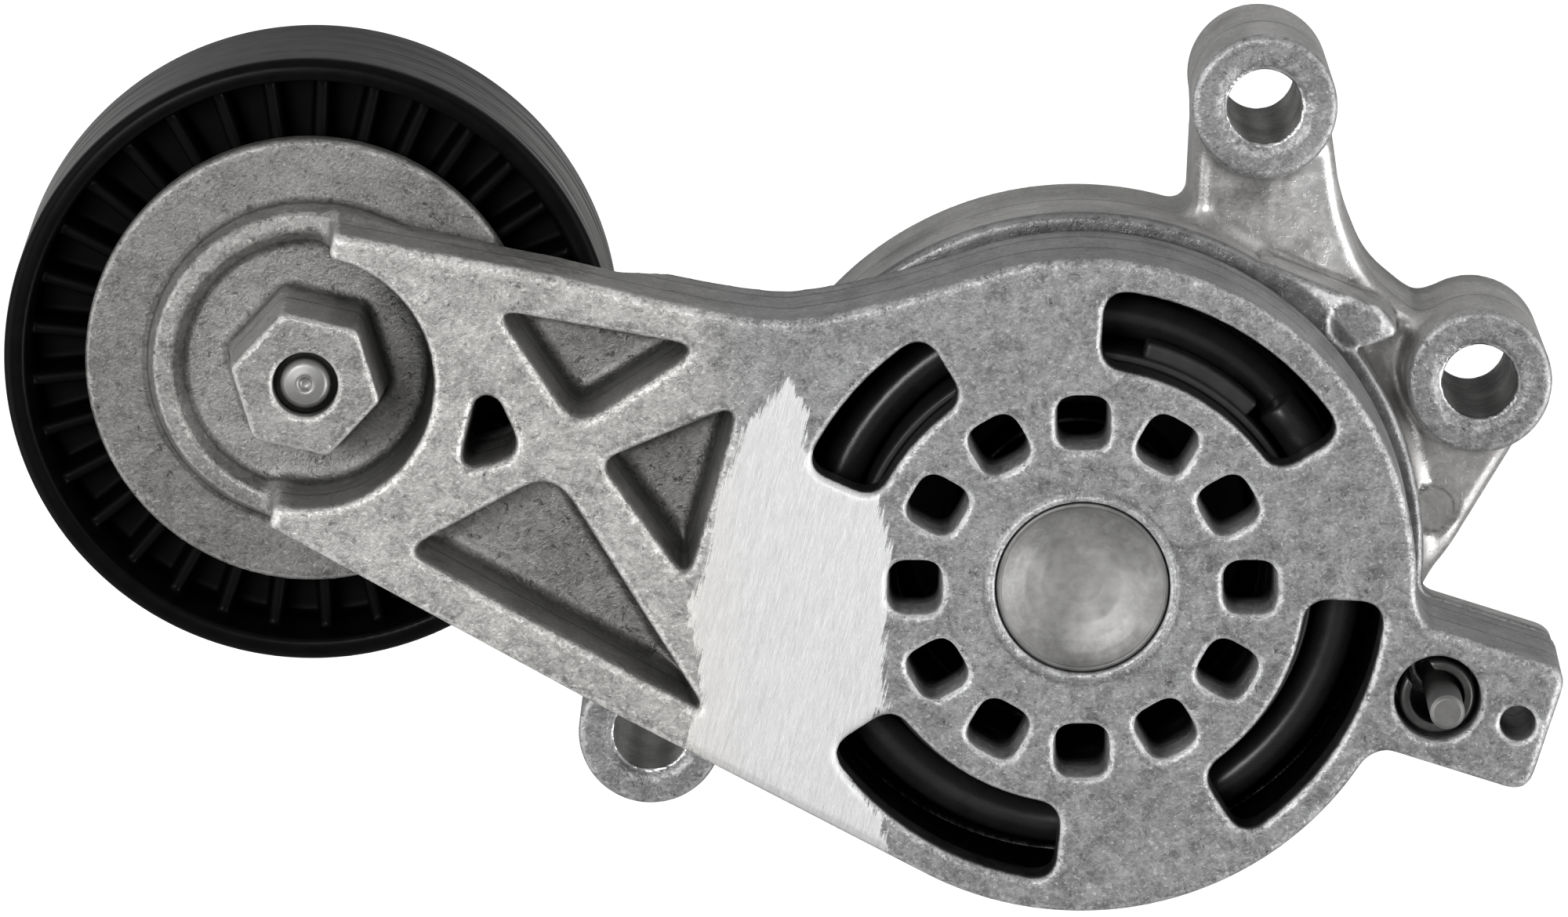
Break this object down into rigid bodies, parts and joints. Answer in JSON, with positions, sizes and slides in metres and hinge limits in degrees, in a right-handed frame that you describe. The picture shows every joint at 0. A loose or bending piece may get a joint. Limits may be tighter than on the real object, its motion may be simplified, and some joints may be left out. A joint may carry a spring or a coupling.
{
  "type": "belt tensioner idler",
  "caption": "Spring-loaded belt tensioner: cast base with bolt bosses, swinging cast arm with wrench hexagon, and a smooth idler pulley on a ball bearing.",
  "frame": {"origin": "on the arm's pivot axis, in the plane of the base's back faces", "axes": "+Z along the pivot axis from the base's back towards the arm's front face, +X away from the pulley along the part's length, +Y towards the upper mounting boss"},
  "size_m": [0.1778, 0.1002, 0.0495],
  "materials": {
    "cast_aluminium": "as cast, fine mottle, bright edges",
    "bearing_steel": "ground",
    "dark_steel": "oiled",
    "spring_steel": "black coated, semi-gloss",
    "black_nylon": "moulded, glossy",
    "seal_rubber": "matte",
    "bush_polymer": "low friction polymer",
    "cage_polymer": "natural polyamide"
  },
  "bodies": {
    "base": {"base_housing": "cast_aluminium", "thrust_washer": "bush_polymer", "damper_sleeve": "black_nylon", "spring_seat": "black_nylon", "dust_seal": "seal_rubber", "torsion_spring": "spring_steel", "pivot_pin": "bearing_steel", "retaining_washer": "dark_steel"},
    "arm": {"tensioner_arm": "cast_aluminium", "pivot_bushing": "bush_polymer", "spring_pin": "dark_steel", "pulley_bolt": "bearing_steel", "bearing_spacer": "bearing_steel", "rear_dust_shield": "dark_steel", "bearing_inner_ring": "bearing_steel"},
    "pulley_wheel": {"pulley": "black_nylon", "bearing_outer_ring": "bearing_steel", "bearing_seal_front": "seal_rubber", "bearing_seal_rear": "seal_rubber"},
    "ball_set": {"bearing_cage": "cage_polymer", "bearing_ball_1": "bearing_steel", "bearing_ball_2": "bearing_steel", "bearing_ball_3": "bearing_steel", "bearing_ball_4": "bearing_steel", "bearing_ball_5": "bearing_steel", "bearing_ball_6": "bearing_steel", "bearing_ball_7": "bearing_steel", "bearing_ball_8": "bearing_steel"},
    "transit_pin": {"lock_pin": "dark_steel"}
  },
  "joints": [
    {"name": "arm_swing", "type": "hinge", "parent": "base", "child": "arm", "pos_m": [0, 0, 0.025], "axis": [0, 0, 1], "range_deg": [-36, 0], "stiffness_Nm_per_rad": 14, "springref_deg": 22.92},
    {"name": "pulley_spin", "type": "hinge", "parent": "arm", "child": "pulley_wheel", "pos_m": [-0.08806, 0.02365, 0.0183], "axis": [0, 0, 1], "continuous": true},
    {"name": "ball_set_spin", "type": "hinge", "parent": "arm", "child": "ball_set", "pos_m": [-0.08806, 0.02365, 0.0183], "axis": [0, 0, 1], "continuous": true},
    {"name": "lock_pin_slide", "type": "slide", "parent": "arm", "child": "transit_pin", "axis": [0, 0, 1], "range_m": [0, 0.022]}
  ],
  "couplings": [
    {"joint": "ball_set_spin", "follows": "pulley_spin", "ratio": 0.618}
  ]
}
